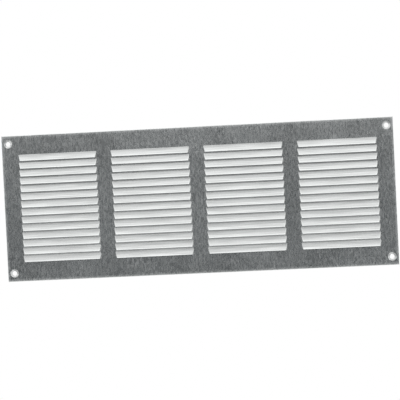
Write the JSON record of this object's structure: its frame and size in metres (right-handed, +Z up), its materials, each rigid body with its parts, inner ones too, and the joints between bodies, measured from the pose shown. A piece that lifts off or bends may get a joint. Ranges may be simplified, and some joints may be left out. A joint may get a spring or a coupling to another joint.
{
  "type": "ventilation grille",
  "caption": "Flat rectangular ventilation grille pressed from galvanised steel sheet, with columns of downward louvres and countersunk corner screw holes.",
  "frame": {"origin": "centre of the plate's back, midway between the four screw holes, on the wall plane", "axes": "+X along the plate to the right as seen from the front, +Y out of the back into the wall, +Z up; louvres stand out towards -Y with their lips down"},
  "size_m": [0.4, 0.0032, 0.15],
  "materials": {
    "galvanised_steel": "dull hot-dip zinc with fine mottling"
  },
  "bodies": {
    "root": {"louvred_plate": "galvanised_steel"}
  },
  "joints": []
}
